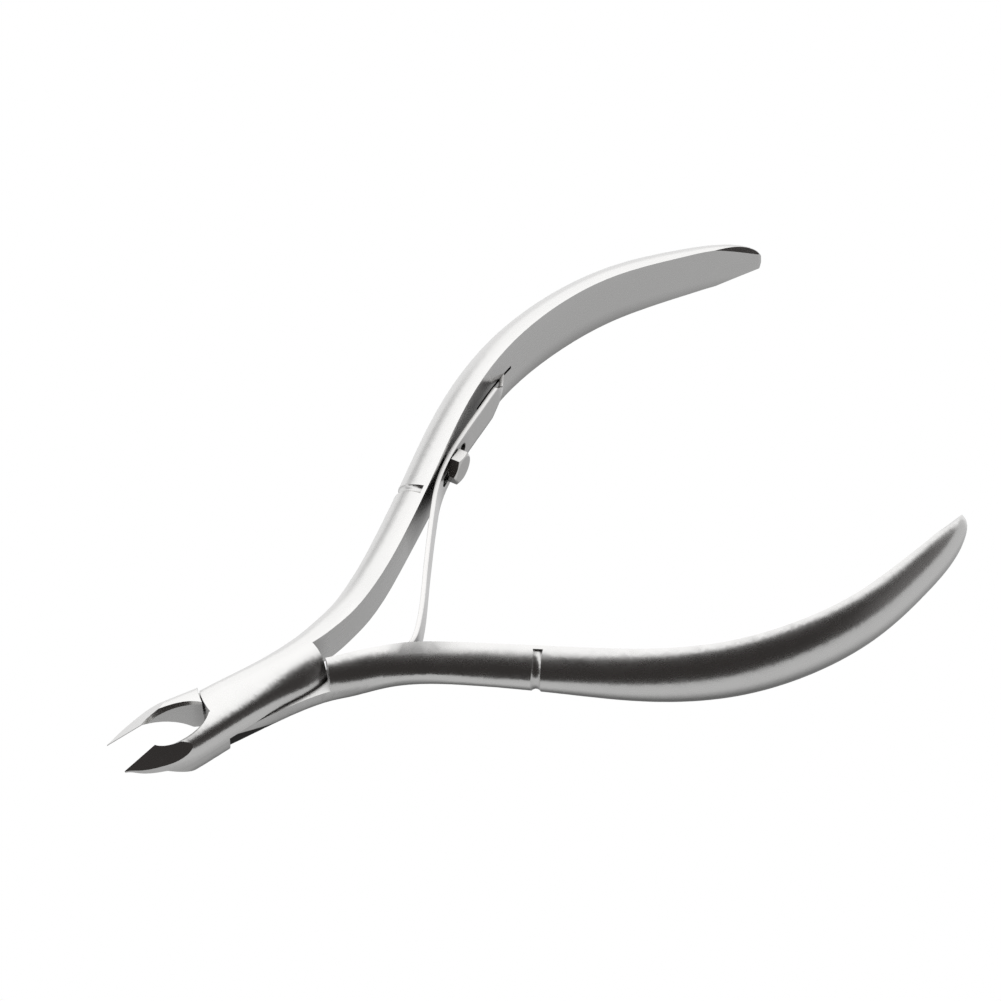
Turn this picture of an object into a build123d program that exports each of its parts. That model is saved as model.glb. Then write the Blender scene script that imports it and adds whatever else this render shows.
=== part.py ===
from build123d import *
import math
import os

# Cuticle nipper, in millimetres. Z is the axis of the joint pin, +X runs from the joint to the handle
# ends, the jaws point to -X, and +Z is the front. The pieces are drawn with Z = 0 at the plane where the
# two levers lap, and are raised at the end, so that the saved pieces have Z = 0 at the joint's flat back.
# Each lever is drawn in its closed position, where the two jaws meet on the plane Y = 0.

# --- driving dimensions -------------------------------------------------------------------------
OPEN_ANGLE = 12.4            # between the two jaws at rest, held open by the spring
HALF_OPEN = OPEN_ANGLE / 2

JOINT_HALF = 3.05            # half the thickness of the joint
HEAD_WIDEST = -0.35          # height at which the head is widest
LAP_GAP = 0.02               # between the two lapped faces
LAP_RADIUS_JAW = 8.4         # rounded end of each lap, towards the jaws
LAP_RADIUS_HANDLE = 9.0      # and towards the handles
SHOULDER_GAP = 0.25          # from a lap's end to the other lever's shoulder

TIP_X = -22.6
TIP_Z = 1.8
HEEL_X = -17.5               # inner end of the cutting edge
HEEL_Z = 3.42
EDGE_LAND = 0.2              # height of the flat land where the cutting edges meet
BEVEL_SLOPE = 0.85           # fall of the ground top face, per millimetre away from the edge
RELIEF_SLOPE = 1.25          # fall of the relief below the edge
THROAT_MIDDLE = (-13.0, 1.0)  # the relief curves down behind the heel, through this point (x, z)
THROAT_END = (-9.8, -2.5)    # to this one
HOLLOW_END_X = -8.6
HOLLOW_DEPTHS = [(-4.0, 1.1), (2.5, 1.1), (4.0, 2.5)]    # hollow between the jaws (z, depth)

HANDLE_MIDDLE = -0.7         # height of the handles' middle plane
ELLIPSE_SHARES = (0.331, 0.631, 0.866)   # of a quarter curve's control points along its sides
SQUARE_SHARES = (0.75, 0.99, 1.0)
HEAD_FRONT_SQUARE = 0.45     # how square the front of the joint is, and the back
HEAD_BACK_SQUARE = 0.9
SQUARE_UNTIL = 0.15          # share of the handle where the back has turned round
DROP_START = -0.03           # the middle plane drops between these shares of the handle
DROP_END = 0.06
UNDER_FACE_START = 4.0       # section's depth behind the inner face at the joint, which is cut away later
UNDER_FACE_LATER = 1.0       # and along the handle
UNDER_FACE_UNTIL = 0.1

GROOVE_AT = 0.316            # decorative groove round a handle's dome, as a share of the handle
GROOVE_RADIUS = 0.8
GROOVE_DEPTH = 0.45
GROOVE_HALF = 3.55           # half width and depth of the dome there
GROOVE_OUT = 4.85
GROOVE_START = 0.8           # the groove starts this far above the centre line

PIN_RADIUS = 1.8
PIN_CLEARANCE = 0.03
PIN_DEPTH = 2.0              # blind depth in the front lever
PIN_HEAD_RADIUS = 2.2
PIN_HEAD_HEIGHT = 1.0
BACK_FLAT = 2.95             # depth of the flat ground on the back of the joint

# the spring's slot, groove and nut lie on the handles' middle plane
SPRING_THICKNESS = 0.65
SPRING_WIDTH = 5.0
SPRING_PATH = [              # middle of the strip at rest, from its tongue to its free end (x, y)
    (54.7, 28.75), (52.7, 26.15), (49.9, 24.45), (44.5, 21.45), (40.5, 18.95), (36.9, 15.9),
    (33.85, 12.15), (29.15, 5.7), (25.0, -0.2), (22.1, -3.68), (20.4, -4.93),
]
TONGUE_HALF_WIDTH = 0.25
TONGUE_X = 53.3              # where the tongue starts
TAPER_FRONT_X = 51.9         # where the strip's front side starts to narrow, and its back side
TAPER_BACK_X = 50.4
TONGUE_GROOVE = (8.6, 2.4, 0.6)          # length, twice the depth, width
TONGUE_GROOVE_AT = (52.45, 27.15)
TONGUE_GROOVE_SLOPE = 27
STUD_AT = (40.9, 19.2)      # where the stud passes through the strip
STUD_SLOPE = 32              # of the strip there
STUD_RADIUS = 1.0
STUD_OUT = 1.37              # beyond the strip's middle, into the nut
STUD_IN = 4.1                # the other way, into the handle
SLOT_LENGTH = 7.5
SLOT_WIDTH = 2.3
NUT_ACROSS_FLATS = 4.2
NUT_HEIGHT = 1.48
NUT_BORE = 1.0               # blind depth for the stud
NUT_TURN = -15               # of the hexagon, in degrees
NUT_SEAT = 0.42              # from the strip's middle to the nut
NUT_CORNERS = 0.42           # the hexagon's corners reach about this far past its flats
NUT_SEAT_CHAMFER = 0.12
NUT_END_CHAMFER = 0.3

# The lever is lofted round a centre line. It runs straight through the head, then just under the
# handle's inner face, which is cut afterwards.
CORE_Y = 0.25                # centre line's distance from the plane where the jaws meet
CORE_UNDER_FACE = 0.25
CORE_START = 8.0             # where the straight part ends
# inner face of a handle, from the joint to the end (x, y)
FACE = [
    (5.0, 0.30), (12.0, 0.83), (18.0, 2.0), (28.0, 6.55), (38.6, 12.8), (49.0, 18.9),
    (59.0, 22.75), (69.0, 24.0), (78.6, 23.05), (88.0, 20.1), (97.7, 15.6),
]
# chamfers round the end of the inner face (degrees from the end to the side it faces, distance back
# from the end, height from the middle plane)
FACE_END_CHAMFERS = [(66, 0.3, 1.6), (-66, 0.3, -1.6), (0, 0.4, 0)]
FACE_END_CUT = 14.0
FACE_START_SLOPE = 0.06
FACE_END_SLOPE = -0.56
CORE_START_SLOPE = 0.04
# along the handle (share of its length, half width, depth of the dome)
HANDLE_SECTIONS = [
    (0.042, 3.13, 3.83), (0.103, 3.07, 4.12), (0.218, 3.15, 4.42), (0.345, 3.7, 4.58), (0.468, 4.6, 4.66),
    (0.579, 5.12, 4.62), (0.683, 5.33, 4.4), (0.782, 5.12, 4.05), (0.885, 4.55, 3.38), (0.95, 3.92, 2.48),
    (0.98, 3.1, 1.75), (0.994, 2.05, 1.1), (0.999, 1.0, 0.55),
]
# outline of the closed head (x, half width on the jaw's own side, that of the lap on the other, height)
HEAD_SECTIONS = [
    (TIP_X, 0.10, 0.35, 3.5), (-21.9, 0.42, 0.7, 3.5), (-21.0, 0.98, 1.2, 3.5), (-19.5, 1.75, 1.9, 3.55),
    (-18.0, 2.35, 2.5, 3.65), (-16.4, 2.9, 3.2, 3.6), (-14.5, 3.3, 3.9, 3.3), (-12.0, 3.45, 4.6, 3.1),
    (-8.0, 3.5, 4.7, JOINT_HALF), (2.0, 3.9, 3.9, JOINT_HALF), (CORE_START, 4.05, 4.0, JOINT_HALF),
]


# --- shared shapes ------------------------------------------------------------------------------
def corner_points(start, corner, end, squareness):
    """Control points of a quarter curve: an ellipse at squareness 0, nearly a square corner at 1."""
    shares = [low + squareness * (high - low) for low, high in zip(ELLIPSE_SHARES, SQUARE_SHARES)]
    towards = [0, *shares, 1, 1]
    onwards = [1 - share for share in reversed(towards)]
    points = []
    for near, far in zip(towards, onwards):
        x = start[0] + near * (corner[0] - start[0]) + far * (end[0] - corner[0])
        y = start[1] + near * (corner[1] - start[1]) + far * (end[1] - corner[1])
        points.append((x, y))
    return points


def dome_section(plane, front, rear, widest, out, back, front_square, rear_square):
    """Closed section: a dome of depth out along the plane's X axis, and of depth back the other way."""
    with BuildSketch(plane) as section:
        with BuildLine():
            Bezier(*corner_points((0, front), (out, front), (out, widest), front_square))
            Bezier(*reversed(corner_points((0, rear), (out, rear), (out, widest), rear_square)))
            Bezier(*corner_points((0, rear), (-back, rear), (-back, widest), rear_square))
            Bezier(*reversed(corner_points((0, front), (-back, front), (-back, widest), front_square)))
        make_face()
    return section.sketch


def core_curve():
    """Centre line of the handle, just under its inner face."""
    start = (CORE_START, CORE_Y)
    points = [(x, y - CORE_UNDER_FACE) for x, y in FACE[1:]]
    with BuildLine() as line:
        Spline(start, *points, tangents=[(1, CORE_START_SLOPE), (1, FACE_END_SLOPE)])
    return line.edges()[0]


def core_plane(share):
    """Plane across the handle: X points out of the dome, Y is up, Z runs towards the handle's end."""
    curve = core_curve()
    along = curve.tangent_at(share)
    return Plane(origin=curve.position_at(share), x_dir=(-along.Y, along.X, 0), z_dir=along)


def lever_sections():
    """Sections from the jaw's tip to the handle's end."""
    sections = []
    for x, own, other, front in HEAD_SECTIONS:
        plane = Plane(origin=(x, CORE_Y, 0), x_dir=(0, 1, 0), z_dir=(1, 0, 0))
        front_square = HEAD_FRONT_SQUARE * min(1, (CORE_START - x) / (2 * CORE_START))
        shape = (other - CORE_Y, own + CORE_Y, front_square, HEAD_BACK_SQUARE)
        sections.append(dome_section(plane, front, -JOINT_HALF, HEAD_WIDEST, *shape))
    for share, half, depth in HANDLE_SECTIONS:
        # the middle plane drops, and the back's corners turn round, as the handle leaves the joint
        middle = HANDLE_MIDDLE * min(1, (share - DROP_START) / (DROP_END - DROP_START))
        back_square = HEAD_BACK_SQUARE * max(0, 1 - share / SQUARE_UNTIL)
        near = max(0, 1 - share / UNDER_FACE_UNTIL)
        back = (UNDER_FACE_LATER + (UNDER_FACE_START - UNDER_FACE_LATER) * near) * min(1, depth / 2)
        shape = (depth + CORE_UNDER_FACE, back, 0, back_square)
        sections.append(dome_section(core_plane(share), middle + half, middle - half, middle, *shape))
    return sections


def jaw_side_cutter():
    """Everything beyond the plane where the jaws meet, outside the lap's rounded end."""
    reach = 30
    with BuildSketch(Plane.XY.offset(-reach / 2)) as outline:
        with Locations((-reach / 2, reach / 2)):
            Rectangle(reach, reach)
        Circle(LAP_RADIUS_JAW, mode=Mode.SUBTRACT)
    return extrude(outline.sketch, amount=reach)


def inner_face_cutter():
    """Everything under the handle's inner face, outside the lap's rounded end."""
    start, end = FACE[0], FACE[-1]
    low, past = -15, 5
    with BuildSketch(Plane.XY.offset(low)) as outline:
        with BuildLine():
            Spline(*FACE, tangents=[(1, FACE_START_SLOPE), (1, FACE_END_SLOPE)])
            Polyline(
                end, (end[0] + past, end[1] + FACE_END_SLOPE * past), (end[0] + past, low), (start[0], low), start,
            )
        make_face()
        Circle(LAP_RADIUS_HANDLE, mode=Mode.SUBTRACT)
    return extrude(outline.sketch, amount=-2 * low)


def face_end_cutters():
    """What is chamfered off round the end of a handle's inner face, at 45 degrees to it."""
    slope = math.atan(FACE_END_SLOPE)
    onwards = Vector(math.cos(slope), math.sin(slope), 0)
    outwards = Vector(math.sin(slope), -math.cos(slope), 0)
    end = Vector(*FACE[-1], HANDLE_MIDDLE)
    cutters = []
    for turn, back, height in FACE_END_CHAMFERS:
        tilt = math.radians(turn)
        facing = outwards + onwards * math.cos(tilt) + Vector(0, 0, math.sin(tilt))
        origin = end - onwards * back + Vector(0, 0, height)
        with BuildPart(Plane(origin=origin, z_dir=facing)) as cutter:
            Box(FACE_END_CUT, FACE_END_CUT, FACE_END_CUT / 2, align=(Align.CENTER, Align.CENTER, Align.MIN))
        cutters.append(cutter.part)
    return cutters


def lap_recess(lap_side):
    """The other lever's half of the joint, with room round its rounded ends."""
    with BuildSketch(Plane.XY.offset(lap_side * LAP_GAP / 2)) as outline:
        for side, radius in ((-1, LAP_RADIUS_JAW), (1, LAP_RADIUS_HANDLE)):
            reach = radius + SHOULDER_GAP
            with BuildLine():
                Line((0, -reach), (0, reach))
                ThreePointArc((0, reach), (side * reach, 0), (0, -reach))
            make_face()
    return extrude(outline.sketch, amount=-lap_side * 2 * JOINT_HALF)


def hollow_outline(height, depth):
    """Lens-shaped outline of the hollow between the jaws, on the lower side."""
    middle = (HEEL_X + HOLLOW_END_X) / 2
    with BuildSketch(Plane.XY.offset(height)) as outline:
        with BuildLine():
            ThreePointArc((HEEL_X, 0), (middle, -depth), (HOLLOW_END_X, 0))
            Polyline((HOLLOW_END_X, 0), (HOLLOW_END_X, 1), (HEEL_X, 1), (HEEL_X, 0))
        make_face()
    return outline.sketch


def hollow_cutter():
    """Hollow between the jaws behind the cutting edge, with a broad chamfer at the front."""
    outlines = [hollow_outline(height, depth) for height, depth in HOLLOW_DEPTHS]
    return loft(sections=outlines, ruled=True)


def edge_height(x):
    """Height of the cutting edge's line at x."""
    return HEEL_Z + (HEEL_Z - TIP_Z) / (HEEL_X - TIP_X) * (x - HEEL_X)


def bevel_cutter():
    """What is ground off above the cutting edge."""
    left, right, top = -24.0, -9.0, 12.0
    with BuildSketch(Plane.XZ.offset(-1)) as profile:
        with BuildLine():
            lift = BEVEL_SLOPE
            Polyline(
                (left, edge_height(left) + lift), (right, edge_height(right) + lift), (right, top), (left, top),
                close=True,
            )
        make_face()
    return extrude(profile.sketch, amount=9, dir=(0, -1, -BEVEL_SLOPE))


def relief_cutter():
    """What is ground off below the cutting edge and behind the heel."""
    left, bottom = -24.0, -9.0
    lift = RELIEF_SLOPE - EDGE_LAND
    heel = (HEEL_X, HEEL_Z + lift)
    middle = (THROAT_MIDDLE[0], THROAT_MIDDLE[1] + RELIEF_SLOPE)
    end = (THROAT_END[0], THROAT_END[1] + RELIEF_SLOPE)
    with BuildSketch(Plane.XZ.offset(-1)) as profile:
        with BuildLine():
            ThreePointArc(heel, middle, end)
            Polyline(end, (end[0], bottom), (left, bottom), (left, edge_height(left) + lift), heel)
        make_face()
    return extrude(profile.sketch, amount=9, dir=(0, -1, -RELIEF_SLOPE))


def groove_cutter():
    """Round-bottomed groove across the dome of a handle."""
    plane = core_plane(GROOVE_AT)
    lift = GROOVE_RADIUS - GROOVE_DEPTH
    out = GROOVE_OUT + lift
    front = HANDLE_MIDDLE + GROOVE_HALF + lift
    rear = HANDLE_MIDDLE - GROOVE_HALF - lift
    with BuildLine(plane) as path:
        Bezier(*corner_points((GROOVE_START, front), (out, front), (out, HANDLE_MIDDLE), 0))
        Bezier(*reversed(corner_points((GROOVE_START, rear), (out, rear), (out, HANDLE_MIDDLE), 0)))
    start = path.line @ 0
    along = path.line % 0
    with BuildPart() as cutter:
        with BuildSketch(Plane(origin=start, z_dir=along)):
            Circle(GROOVE_RADIUS)
        sweep(path=path.line)
    return cutter.part


def lever_blank():
    """What the two levers share, closed: handle on +Y, jaw on -Y, full thickness at the joint."""
    sections = lever_sections()
    cutters = [
        jaw_side_cutter(), inner_face_cutter(), hollow_cutter(), bevel_cutter(), relief_cutter(), groove_cutter(),
        *face_end_cutters(),
    ]
    with BuildPart() as lever:
        loft(sections=sections)
        for cutter in cutters:
            add(cutter, mode=Mode.SUBTRACT)
    return lever.part


def stud_plane():
    """Plane across the spring's stud: Z points out of the handle, X runs along the strip."""
    slope = math.radians(STUD_SLOPE)
    return Plane(
        origin=(STUD_AT[0], STUD_AT[1], HANDLE_MIDDLE),
        x_dir=(math.cos(slope), math.sin(slope), 0),
        z_dir=(math.sin(slope), -math.cos(slope), 0),
    )


# --- levers -------------------------------------------------------------------------------------
blank = lever_blank()
front_recess = lap_recess(1)
rear_recess = lap_recess(-1)

with BuildPart() as front_closed:
    add(blank)
    add(front_recess, mode=Mode.SUBTRACT)
    with BuildSketch():
        Circle(PIN_RADIUS)
    extrude(amount=PIN_DEPTH, mode=Mode.SUBTRACT)

with BuildPart() as front_lever:
    add(front_closed.part, rotation=(0, 0, HALF_OPEN))
    with Locations(Location((*TONGUE_GROOVE_AT, HANDLE_MIDDLE), (0, 0, TONGUE_GROOVE_SLOPE))):
        Box(*TONGUE_GROOVE, mode=Mode.SUBTRACT)
    with BuildSketch(stud_plane()):
        Circle(STUD_RADIUS)
    extrude(amount=-STUD_IN, mode=Mode.SUBTRACT)

# the rear lever is made as the front one and then mirrored
with BuildPart() as rear_closed:
    add(blank)
    add(rear_recess, mode=Mode.SUBTRACT)
    with BuildSketch(Plane.XY.offset(-BACK_FLAT)):
        Circle(LAP_RADIUS_HANDLE + 1)
    extrude(amount=-1, mode=Mode.SUBTRACT)
    with BuildSketch(Plane.XY.offset(-4)):
        Circle(PIN_RADIUS + PIN_CLEARANCE)
    extrude(amount=6, mode=Mode.SUBTRACT)
    with BuildSketch(Plane.XY.offset(PIN_HEAD_HEIGHT + PIN_CLEARANCE - BACK_FLAT)):
        Circle(PIN_HEAD_RADIUS + PIN_CLEARANCE)
    extrude(amount=-2, mode=Mode.SUBTRACT)

rear_mirrored = mirror(rear_closed.part, about=Plane.XZ)
with BuildPart() as rear_lever:
    add(rear_mirrored, rotation=(0, 0, -HALF_OPEN))


# --- joint pin, ground flush with the back ------------------------------------------------------
with BuildPart() as joint_pin:
    with BuildSketch(Plane.XY.offset(-BACK_FLAT)):
        Circle(PIN_HEAD_RADIUS)
    extrude(amount=PIN_HEAD_HEIGHT)
    with BuildSketch(Plane.XY.offset(-BACK_FLAT)):
        Circle(PIN_RADIUS)
    extrude(amount=BACK_FLAT + PIN_DEPTH)


# --- leaf spring, its stud and its nut ----------------------------------------------------------
with BuildLine(Plane.XY.offset(HANDLE_MIDDLE)) as spring_path:
    Spline(*SPRING_PATH)

with BuildPart() as leaf_spring:
    strip = spring_path.line
    with BuildSketch(Plane(origin=strip @ 0, x_dir=(0, 0, 1), z_dir=strip % 0)):
        Rectangle(SPRING_WIDTH, SPRING_THICKNESS)
    sweep(path=strip)
    # both sides are cut back to leave the tongue
    for side, taper_x in ((1, TAPER_FRONT_X), (-1, TAPER_BACK_X)):
        inner = HANDLE_MIDDLE + side * TONGUE_HALF_WIDTH
        outer = HANDLE_MIDDLE + side * (SPRING_WIDTH / 2 + 0.1)
        past_end = SPRING_PATH[0][0] + 1
        with BuildSketch(Plane.XZ.offset(-40)):
            with BuildLine():
                Polyline((taper_x, outer), (TONGUE_X, inner), (past_end, inner), (past_end, outer), close=True)
            make_face()
        extrude(amount=30, mode=Mode.SUBTRACT)
    with BuildSketch(stud_plane().offset(-2)):
        SlotOverall(SLOT_LENGTH, SLOT_WIDTH)
    extrude(amount=4, mode=Mode.SUBTRACT)

with BuildPart() as spring_screw:
    with BuildSketch(stud_plane().offset(STUD_OUT)):
        Circle(STUD_RADIUS)
    extrude(amount=-(STUD_OUT + STUD_IN))
    chamfer(spring_screw.faces().sort_by(Axis.Y)[0].edges(), 0.25)

# profile of the nut, turned round the stud's axis: both ends of the hexagon are chamfered
nut_flat = NUT_ACROSS_FLATS / 2
nut_corner = nut_flat + NUT_CORNERS
nut_end_radius = nut_corner - 2 * NUT_END_CHAMFER
nut_plane = stud_plane().offset(NUT_SEAT)

with BuildPart() as spring_nut:
    with BuildSketch(nut_plane):
        RegularPolygon(nut_flat, 6, major_radius=False, rotation=NUT_TURN)
    extrude(amount=NUT_HEIGHT)
    with BuildSketch(Plane(nut_plane.origin, z_dir=nut_plane.x_dir, x_dir=(0, 0, 1))):
        with BuildLine():
            Polyline(
                (0, 0), (nut_corner - NUT_SEAT_CHAMFER, 0), (nut_corner, NUT_SEAT_CHAMFER),
                (nut_corner, NUT_HEIGHT - NUT_END_CHAMFER), (nut_end_radius, NUT_HEIGHT), (0, NUT_HEIGHT),
                close=True,
            )
        make_face()
    revolve(axis=Axis(nut_plane.origin, nut_plane.z_dir), mode=Mode.INTERSECT)
    with BuildSketch(nut_plane):
        Circle(STUD_RADIUS)
    extrude(amount=NUT_BORE, mode=Mode.SUBTRACT)


# --- files --------------------------------------------------------------------------------------
os.makedirs("parts", exist_ok=True)
raised = Vector(0, 0, BACK_FLAT)

front_lever.part.position += raised
front_lever.part.label = "front_lever"
export_step(front_lever.part, "parts/front_lever.step")

rear_lever.part.position += raised
rear_lever.part.label = "rear_lever"
export_step(rear_lever.part, "parts/rear_lever.step")

joint_pin.part.position += raised
joint_pin.part.label = "joint_pin"
export_step(joint_pin.part, "parts/joint_pin.step")

leaf_spring.part.position += raised
leaf_spring.part.label = "leaf_spring"
export_step(leaf_spring.part, "parts/leaf_spring.step")

spring_screw.part.position += raised
spring_screw.part.label = "spring_screw"
export_step(spring_screw.part, "parts/spring_screw.step")

spring_nut.part.position += raised
spring_nut.part.label = "spring_nut"
export_step(spring_nut.part, "parts/spring_nut.step")
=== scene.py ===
import math

import bmesh
import bpy
from mathutils import Matrix, Vector


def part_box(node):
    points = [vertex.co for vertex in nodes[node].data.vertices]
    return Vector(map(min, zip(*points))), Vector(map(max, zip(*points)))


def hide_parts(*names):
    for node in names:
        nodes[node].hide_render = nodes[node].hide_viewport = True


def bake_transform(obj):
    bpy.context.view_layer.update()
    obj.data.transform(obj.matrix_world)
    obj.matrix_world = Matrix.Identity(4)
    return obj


# Looks for the cuticle nipper. Lengths are metres unless a name ends in _MM.
# +Z is the front, +X runs from the joint to the handle ends and the jaws point to -X.

MM = 0.001

# camera: where it stands and how it is turned
CAMERA_AT_MM = (-226.9, -504.5, 836.35)
CAMERA_RIGHT = (0.8597, -0.5096, -0.0358)
CAMERA_UP = (0.4361, 0.6957, 0.5708)
CAMERA_LENS_MM = 266.1

# leaf spring, in the handles' middle plane (the same path as the CAD strip)
SPRING_PATH_MM = [
    (54.7, 28.75), (52.7, 26.15), (49.9, 24.45), (44.5, 21.45), (40.5, 18.95), (36.9, 15.9),
    (33.85, 12.15), (29.15, 5.7), (25.0, -0.2), (22.1, -3.68), (20.4, -4.93),
]
SPRING_MIDDLE_Z_MM = 2.25
SPRING_HALF_WIDTH_MM = 2.5
SPRING_THICKNESS_MM = 0.62
TONGUE_HALF_WIDTH_MM = 0.24
TONGUE_X_MM = 53.3               # where the tongue starts
TAPER_FRONT_X_MM = 51.9          # where the strip's front side starts to narrow, and its back side
TAPER_BACK_X_MM = 50.4
SLOT_MIDDLE_MM = (40.9, 19.2)
SLOT_HALF_LENGTH_MM = 3.75
SLOT_HALF_WIDTH_MM = 1.15
SPRING_STATIONS = 420            # cross sections along the strip
CURVE_STEPS = 40                 # fine points between two points of the path
FACES_ACROSS = 5                 # from the slot to the strip's edge
EDGE_ROUND_MM = 0.09
EDGE_SEGMENTS = 3
EDGE_ANGLE = 50
STRIP_SHARP_ANGLE = 40

# CAD pieces: faces that meet at more than this many degrees keep a sharp edge
LEVER_SHARP_ANGLE = 22
PIN_SHARP_ANGLE = 30
FASTENER_SHARP_ANGLE = 25

# steel: colour and mean roughness of each kind
LEVER_TINT, LEVER_ROUGHNESS = (0.80, 0.795, 0.78), 0.27
SPRING_TINT, SPRING_ROUGHNESS = (0.80, 0.79, 0.775), 0.24
PIN_TINT, PIN_ROUGHNESS = (0.70, 0.695, 0.68), 0.24
FASTENER_TINT, FASTENER_ROUGHNESS = (0.78, 0.77, 0.75), 0.16
FASTENER_GRAIN = 0.5

# steel surface: size of each noise (per metre), and what it changes
GRAIN_SCALE = 7000.0
CLOUD_SCALE = 260.0
STREAK_SCALE = 1500.0
WEAR_SCALE = 700.0
WORN_ABOVE = (0.62, 0.78)             # noise levels where wear begins and where it is full
CLOUD_ROUGHNESS = 0.035
STREAK_ROUGHNESS = 0.02
WEAR_ROUGHNESS = 0.04
CLOUD_SHADE = 0.93                    # the colour under clouds and wear, next to the clean one
CLOUD_AMOUNT = 0.6
BUMP_STRENGTH = 0.10
BUMP_DEPTH = 0.00002

# painted shade: steel darkened in narrow gaps
GAP_SHADE_COLOUR = (0.05, 0.046, 0.044)
GAP_REACH = 0.003                     # how far away the other side still darkens
GAP_SHADE_AMOUNT = 0.8
GAP_SAMPLES = 8

# painted shadow on the flank of the rear lever, under the front one's lap, at rest: a dark, rougher
# patch
FLANK_SHADOW_COLOUR = (0.03, 0.029, 0.028)
FLANK_START_MM = (-7.5, 2.95)         # its upper edge starts here (x, z)
FLANK_SLOPE = -0.33                   # and falls towards the handle
FLANK_Y_MM = -2.6                     # it lies beyond this, on the outer side
FLANK_END_MM = -9.2                   # and ends here, towards the jaws
FLANK_EDGE_MM = 0.12
FLANK_ROUGHNESS = 0.15                # added to the polished steel's

# studio: brightness by direction, as the steel meets it
WHITE_SIDE = (0.342, 0.940, 0.0)      # the white half lies on this side
WHITE_EDGE = (-0.03, 0.22)            # where the white half begins and where it is full
WHITE_SKY = (1.18, 1.18, 1.19)
DARK_SKY = (0.030, 0.027, 0.026)
GREY_SIDE = (0.866, -0.5, 0.1)        # the dark half is lighter here
GREY_EDGE = (0.72, 0.98)
GREY_SKY = (0.135, 0.13, 0.13)
STREAK_SIDE = (-0.42, 0.9, 0.05)      # a soft grey streak in the white half
STREAK_EDGE = (0.84, 0.97)
STREAK_SKY = (0.50, 0.50, 0.505)
HORIZON_EDGE = (-0.01, 0.01)
FLOOR_BELOW = 0.12                    # straight below the object
FLOOR_FAR = 0.57                      # and far out
FLOOR_STEEP = -0.72                   # directions steeper than this meet a darker floor
FLOOR_LIFT = 1.6
FLOOR_LIFT_EDGE = (0.28, 0.52)        # where the floor's lighter side begins and where it is full
FLOOR_TINT = (0.99, 0.99, 1.0)
FLOOR_SIZE = 6.0
FLOOR_FLECK = (0.94, 1.06)
FLOOR_FLECK_SCALE = 40.0
MIDDLE = (0.04, 0, 0)                 # about the middle of the object

LAMP_AT = (0.2, 0.35, 0.6)
LAMP_SIZE = 0.5
LAMP_POWER = 0.04


# --- node helpers -------------------------------------------------------------------------------
class Nodes:
    """Short ways to add and join the nodes of one tree."""

    def __init__(self, tree):
        self.tree = tree

    def set(self, node, key, value):
        if isinstance(value, bpy.types.NodeSocket):
            self.tree.links.new(value, node.inputs[key])
        else:
            node.inputs[key].default_value = value

    def node(self, kind, **inputs):
        made = self.tree.nodes.new(kind)
        for key, value in inputs.items():
            self.set(made, key.replace("_", " "), value)
        return made

    def math(self, operation, first, second):
        made = self.tree.nodes.new("ShaderNodeMath")
        made.operation = operation
        self.set(made, 0, first)
        self.set(made, 1, second)
        return made.outputs[0]

    def add(self, first, second):
        return self.math("ADD", first, second)

    def minus(self, first, second):
        return self.math("SUBTRACT", first, second)

    def times(self, first, second):
        return self.math("MULTIPLY", first, second)

    def ramp(self, value, start, stop, low=0.0, high=1.0, smooth=False):
        """Low until start, high from stop on."""
        limits = {"From_Min": start, "From_Max": stop, "To_Min": low, "To_Max": high}
        made = self.node("ShaderNodeMapRange", Value=value, **limits)
        if smooth:
            made.interpolation_type = "SMOOTHSTEP"
        return made.outputs[0]

    def mix(self, amount, first, second):
        """The first colour at 0, the second at 1."""
        made = self.tree.nodes.new("ShaderNodeMix")
        made.data_type = "RGBA"
        self.set(made, "Factor", amount)
        for index, value in ((6, first), (7, second)):
            self.set(made, index, value if isinstance(value, bpy.types.NodeSocket) else (*value, 1))
        return made.outputs[2]


class Shader(Nodes):
    """A material's node tree."""

    def __init__(self, name):
        self.material = bpy.data.materials.new(name)
        self.material.use_nodes = True
        super().__init__(self.material.node_tree)
        self.tree.nodes.clear()

    def position(self):
        return self.node("ShaderNodeTexCoord").outputs["Object"]

    def noise(self, scale, stretch=(1, 1, 1), detail=3.0, roughness=0.55):
        """Noise from 0 to 1, finer along the axes it is stretched on."""
        spot = self.node("ShaderNodeMapping", Vector=self.position(), Scale=stretch)
        made = self.node(
            "ShaderNodeTexNoise", Vector=spot.outputs[0], Scale=scale, Detail=detail, Roughness=roughness
        )
        return made.outputs["Fac"]


def flank_shadow_mask(s):
    """1 on the flank's painted shadow: below a line that falls towards the handle, on the outer side."""
    split = s.node("ShaderNodeSeparateXYZ", Vector=s.position())
    x, y, z = split.outputs
    start_x, start_z = FLANK_START_MM
    line = s.add(s.times(s.minus(x, start_x * MM), FLANK_SLOPE), start_z * MM)
    soft = FLANK_EDGE_MM * MM
    below = s.ramp(s.minus(line, z), 0.0, soft)
    outer = s.ramp(s.minus(FLANK_Y_MM * MM, y), 0.0, soft)
    behind_jaw = s.ramp(s.minus(x, FLANK_END_MM * MM), 0.0, soft)
    return s.times(s.times(below, outer), behind_jaw)


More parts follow.
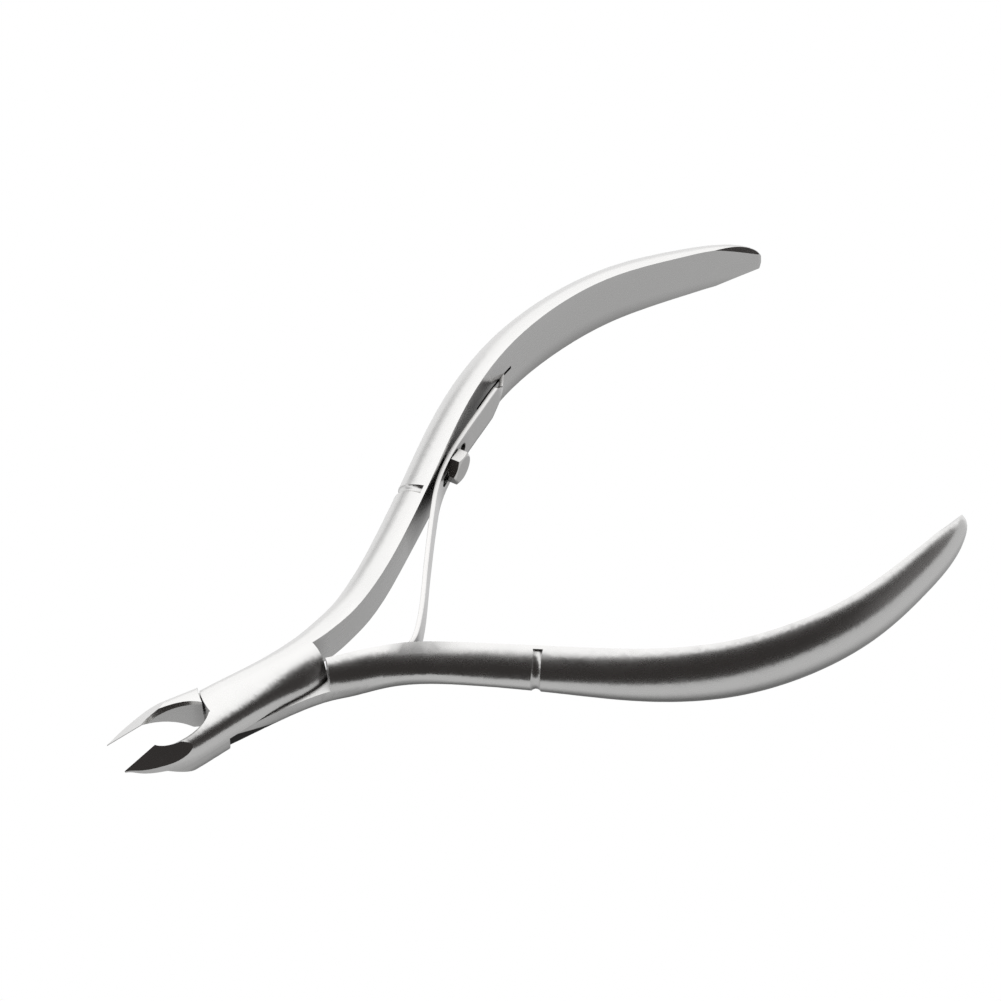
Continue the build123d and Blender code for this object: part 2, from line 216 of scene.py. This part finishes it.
def steel(name, tint, roughness, grain=1.0, painted_flank_shadow=False):
    """Satin steel: fine grain, cloudy polish and faint wear, with painted shade in narrow gaps."""
    s = Shader(name)
    fine = s.noise(GRAIN_SCALE, (1.0, 1.0, 2.2), 4.0, 0.7)
    cloud = s.noise(CLOUD_SCALE)
    streak = s.noise(STREAK_SCALE, (0.25, 0.6, 3.0), 3.0, 0.6)
    worn = s.ramp(s.noise(WEAR_SCALE, (1, 1, 1), 6.0, 0.75), *WORN_ABOVE)

    rough = s.ramp(cloud, 0.0, 1.0, roughness - CLOUD_ROUGHNESS, roughness + CLOUD_ROUGHNESS)
    rough = s.add(rough, s.ramp(streak, 0.0, 1.0, -STREAK_ROUGHNESS, STREAK_ROUGHNESS))
    rough = s.add(rough, s.times(worn, WEAR_ROUGHNESS))

    clouded = s.times(s.add(s.times(cloud, 0.5), worn), CLOUD_AMOUNT)
    colour = s.mix(clouded, tint, tuple(CLOUD_SHADE * c for c in tint))
    # painted shade: the colour darkens where another surface is near, as in gaps
    near = s.node("ShaderNodeAmbientOcclusion", Distance=GAP_REACH)
    near.samples = GAP_SAMPLES
    colour = s.mix(s.times(s.minus(1.0, near.outputs["AO"]), GAP_SHADE_AMOUNT), colour, GAP_SHADE_COLOUR)
    # painted shadow: the rear lever's flank darkens under the front lever's lap
    if painted_flank_shadow:
        mask = flank_shadow_mask(s)
        colour = s.mix(mask, colour, FLANK_SHADOW_COLOUR)
        rough = s.add(rough, s.times(mask, FLANK_ROUGHNESS))

    height = s.add(s.times(fine, 0.6 * grain), s.times(streak, 0.4 * grain))
    bump = s.node("ShaderNodeBump", Strength=BUMP_STRENGTH, Distance=BUMP_DEPTH, Height=height)
    body = s.node(
        "ShaderNodeBsdfPrincipled",
        Base_Color=colour,
        Metallic=1.0,
        Roughness=rough,
        Normal=bump.outputs[0],
    )
    s.node("ShaderNodeOutputMaterial", Surface=body.outputs[0])
    return s.material


def give(obj, material):
    obj.data.materials.clear()
    obj.data.materials.append(material)


def smooth_shading(obj, angle_deg):
    """Smooth shading between faces that meet at less than the angle."""
    obj.data.shade_smooth()
    obj.data.set_sharp_from_angle(angle=math.radians(angle_deg))


# --- leaf spring --------------------------------------------------------------------------------
def spring_stations(count):
    """Points evenly along a smooth curve through the path."""
    points = [Vector((x, y)) for x, y in SPRING_PATH_MM]
    fine = []
    for i in range(len(points) - 1):
        before = points[max(i - 1, 0)]
        start, end = points[i], points[i + 1]
        after = points[min(i + 2, len(points) - 1)]
        for k in range(CURVE_STEPS):
            t = k / CURVE_STEPS
            fine.append(0.5 * (
                2 * start + (end - before) * t
                + (2 * before - 5 * start + 4 * end - after) * t * t
                + (3 * start - before - 3 * end + after) * t ** 3
            ))
    fine.append(points[-1])
    lengths = [0.0]
    for a, b in zip(fine, fine[1:]):
        lengths.append(lengths[-1] + (b - a).length)
    stations = []
    j = 0
    for i in range(count):
        want = lengths[-1] * i / (count - 1)
        while j < len(fine) - 2 and lengths[j + 1] < want:
            j += 1
        share = (want - lengths[j]) / max(lengths[j + 1] - lengths[j], 1e-9)
        stations.append(fine[j].lerp(fine[j + 1], min(share, 1)))
    return stations


def strip_half_width(x, side):
    """Half width of the strip on its front or back side, which narrows to the tongue."""
    low = TAPER_FRONT_X_MM if side > 0 else TAPER_BACK_X_MM
    share = min(max((x - low) / (TONGUE_X_MM - low), 0), 1)
    return SPRING_HALF_WIDTH_MM + (TONGUE_HALF_WIDTH_MM - SPRING_HALF_WIDTH_MM) * share


def slot_half_width(along):
    """Half width of the slot at a distance from its middle."""
    past = abs(along) - (SLOT_HALF_LENGTH_MM - SLOT_HALF_WIDTH_MM)
    if past <= 0:
        return SLOT_HALF_WIDTH_MM
    if past >= SLOT_HALF_WIDTH_MM:
        return 0.0
    return math.sqrt(SLOT_HALF_WIDTH_MM ** 2 - past ** 2)


def make_spring(material):
    """The bent strip, with its slot and tongue, as one mesh."""
    stations = spring_stations(SPRING_STATIONS)
    middle = Vector(SLOT_MIDDLE_MM)
    nearest = min(range(len(stations)), key=lambda i: (stations[i] - middle).length)
    step = sum((b - a).length for a, b in zip(stations, stations[1:])) / (len(stations) - 1)
    mesh = bmesh.new()
    for side in (1, -1):
        rows = []
        for i, point in enumerate(stations):
            outer = strip_half_width(point.x, side)
            inner = min(slot_half_width((i - nearest) * step), outer)
            row = []
            for k in range(FACES_ACROSS + 1):
                offset = side * (inner + (outer - inner) * k / FACES_ACROSS)
                spot = (point.x * MM, point.y * MM, (SPRING_MIDDLE_Z_MM + offset) * MM)
                row.append(mesh.verts.new(spot))
            rows.append(row)
        for first, second in zip(rows, rows[1:]):
            for k in range(FACES_ACROSS):
                corners = [first[k], first[k + 1], second[k + 1], second[k]]
                mesh.faces.new(corners if side > 0 else corners[::-1])
    bmesh.ops.remove_doubles(mesh, verts=mesh.verts, dist=1e-7)
    data = bpy.data.meshes.new("leaf_spring_strip")
    mesh.to_mesh(data)
    mesh.free()
    raw = bpy.data.objects.new("leaf_spring_raw", data)
    bpy.context.scene.collection.objects.link(raw)
    solid = raw.modifiers.new("thickness", "SOLIDIFY")
    solid.thickness = SPRING_THICKNESS_MM * MM
    solid.offset = 0
    solid.use_even_offset = True
    soft = raw.modifiers.new("edges", "BEVEL")
    soft.width = EDGE_ROUND_MM * MM
    soft.segments = EDGE_SEGMENTS
    soft.limit_method = "ANGLE"
    soft.angle_limit = math.radians(EDGE_ANGLE)
    soft.harden_normals = True
    bpy.context.view_layer.update()
    evaluated = raw.evaluated_get(bpy.context.evaluated_depsgraph_get())
    final = bpy.data.meshes.new_from_object(evaluated)
    bpy.data.objects.remove(raw)
    strip = bpy.data.objects.new("leaf_spring_look", final)
    bpy.context.scene.collection.objects.link(strip)
    smooth_shading(strip, STRIP_SHARP_ANGLE)
    give(strip, material)
    return strip


# --- floor, light and camera --------------------------------------------------------------------
class Studio(Nodes):
    """The brightness met in a direction: a white side, a dark side and a floor that is darker below."""

    def __init__(self, tree, toward):
        super().__init__(tree)
        self.toward = toward

    def along(self, direction):
        """How far the direction met points along another one, from -1 to 1."""
        made = self.tree.nodes.new("ShaderNodeVectorMath")
        made.operation = "DOT_PRODUCT"
        self.set(made, 0, self.toward)
        self.set(made, 1, Vector(direction).normalized())
        return made.outputs["Value"]

    def near(self, direction, edge, low=0.0, high=1.0):
        """High close to a direction, low away from it."""
        return self.ramp(self.along(direction), *edge, low, high, smooth=True)

    def floor(self):
        """Grey far out, dark straight below, lighter on the white side."""
        level = self.ramp(self.along((0, 0, 1)), -1.0, FLOOR_STEEP, FLOOR_BELOW, FLOOR_FAR)
        lift = self.near(WHITE_SIDE, FLOOR_LIFT_EDGE, 1.0, FLOOR_LIFT)
        return self.mix(self.times(level, lift), (0.0, 0.0, 0.0), FLOOR_TINT)

    def sky(self):
        """Dark in front of the object, white behind it."""
        dark = self.mix(self.near(GREY_SIDE, GREY_EDGE), DARK_SKY, GREY_SKY)
        white = self.mix(self.near(STREAK_SIDE, STREAK_EDGE), WHITE_SKY, STREAK_SKY)
        return self.mix(self.near(WHITE_SIDE, WHITE_EDGE), dark, white)


def make_floor(height):
    """A pale floor: plain white to the camera, shaded only in the steel, where it glows with painted
    shade: darker straight below the object, lighter on the white side.
    """
    s = Shader("floor_paper")
    path = s.node("ShaderNodeLightPath")
    geometry = s.node("ShaderNodeNewGeometry")
    toward = s.node("ShaderNodeVectorMath")
    toward.operation = "SCALE"
    s.set(toward, 0, geometry.outputs["Incoming"])
    s.set(toward, "Scale", -1.0)
    seen = s.node("ShaderNodeEmission", Color=(1.0, 1.0, 1.0, 1), Strength=1.0)
    fleck = s.ramp(s.noise(FLOOR_FLECK_SCALE), 0.0, 1.0, *FLOOR_FLECK)
    studio = Studio(s.tree, toward.outputs[0])
    # painted shade and light: to the steel the floor glows, darker straight below the object, lighter on
    # the white side
    other = s.node("ShaderNodeEmission", Color=studio.floor(), Strength=fleck)
    mixed = s.node("ShaderNodeMixShader", Fac=path.outputs["Is Camera Ray"])
    s.set(mixed, 1, other.outputs[0])
    s.set(mixed, 2, seen.outputs[0])
    s.node("ShaderNodeOutputMaterial", Surface=mixed.outputs[0])
    bpy.ops.mesh.primitive_plane_add(size=FLOOR_SIZE, location=(MIDDLE[0], MIDDLE[1], height))
    floor = bpy.context.object
    floor.name = "floor"
    give(floor, s.material)


def make_world():
    """The studio round the object. The camera sees plain white."""
    world = bpy.data.worlds.new("studio")
    bpy.context.scene.world = world
    world.use_nodes = True
    tree = world.node_tree
    tree.nodes.clear()
    spot = tree.nodes.new("ShaderNodeTexCoord")
    studio = Studio(tree, spot.outputs["Generated"])
    colour = studio.mix(studio.near((0, 0, 1), HORIZON_EDGE), studio.floor(), studio.sky())
    path = studio.node("ShaderNodeLightPath")
    colour = studio.mix(path.outputs["Is Camera Ray"], colour, (1.0, 1.0, 1.0))
    background = studio.node("ShaderNodeBackground", Color=colour, Strength=1.0)
    studio.node("ShaderNodeOutputWorld", Surface=background.outputs[0])


def make_light():
    """One soft lamp overhead."""
    lamp = bpy.data.lights.new("overhead", "AREA")
    lamp.shape = "DISK"
    lamp.size = LAMP_SIZE
    lamp.energy = LAMP_POWER
    holder = bpy.data.objects.new("overhead", lamp)
    holder.location = LAMP_AT
    aim = Vector(MIDDLE) - holder.location
    holder.rotation_euler = aim.to_track_quat("-Z", "Y").to_euler()
    bpy.context.scene.collection.objects.link(holder)


def make_camera():
    right = Vector(CAMERA_RIGHT)
    up = Vector(CAMERA_UP)
    back = right.cross(up)
    data = bpy.data.cameras.new("camera")
    data.sensor_width = 36.0
    data.lens = CAMERA_LENS_MM
    data.clip_start = 0.01
    data.clip_end = 20.0
    holder = bpy.data.objects.new("camera", data)
    turned = Matrix((right, up, back)).transposed().to_4x4()
    holder.matrix_world = Matrix.Translation(Vector(CAMERA_AT_MM) * MM) @ turned
    bpy.context.scene.collection.objects.link(holder)
    bpy.context.scene.camera = holder


# --- the scene ----------------------------------------------------------------------------------
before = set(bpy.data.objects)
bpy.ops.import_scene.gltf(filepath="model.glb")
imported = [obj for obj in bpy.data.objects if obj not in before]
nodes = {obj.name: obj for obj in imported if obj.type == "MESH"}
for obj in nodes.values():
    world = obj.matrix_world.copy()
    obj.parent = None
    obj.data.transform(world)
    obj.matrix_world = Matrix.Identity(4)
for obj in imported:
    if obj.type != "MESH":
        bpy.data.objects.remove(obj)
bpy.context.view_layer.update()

lever_steel = steel("satin_steel", LEVER_TINT, LEVER_ROUGHNESS)
# the rear lever's steel carries a painted shadow under the front lever's lap
shadowed_rear_steel = steel("satin_steel_rear_shadowed", LEVER_TINT, LEVER_ROUGHNESS, painted_flank_shadow=True)
spring_steel = steel("spring_steel", SPRING_TINT, SPRING_ROUGHNESS)
pin_steel = steel("pin_steel", PIN_TINT, PIN_ROUGHNESS)
fastener_plate = steel("fastener_plate", FASTENER_TINT, FASTENER_ROUGHNESS, FASTENER_GRAIN)

looks = {
    "front_lever": (lever_steel, LEVER_SHARP_ANGLE),
    "rear_lever": (shadowed_rear_steel, LEVER_SHARP_ANGLE),
    "joint_pin": (pin_steel, PIN_SHARP_ANGLE),
    "spring_screw": (fastener_plate, FASTENER_SHARP_ANGLE),
    "spring_nut": (fastener_plate, FASTENER_SHARP_ANGLE),
}
for name, (material, sharp_angle) in looks.items():
    give(nodes[name], material)
    smooth_shading(nodes[name], sharp_angle)
give(nodes["leaf_spring"], spring_steel)

strip = make_spring(spring_steel)
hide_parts("leaf_spring")
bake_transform(strip)

lowest = min(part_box(name)[0].z for name in nodes)
make_floor(lowest)
make_world()
make_light()
make_camera()

scene = bpy.context.scene
scene.view_settings.view_transform = "Standard"
scene.view_settings.look = "None"
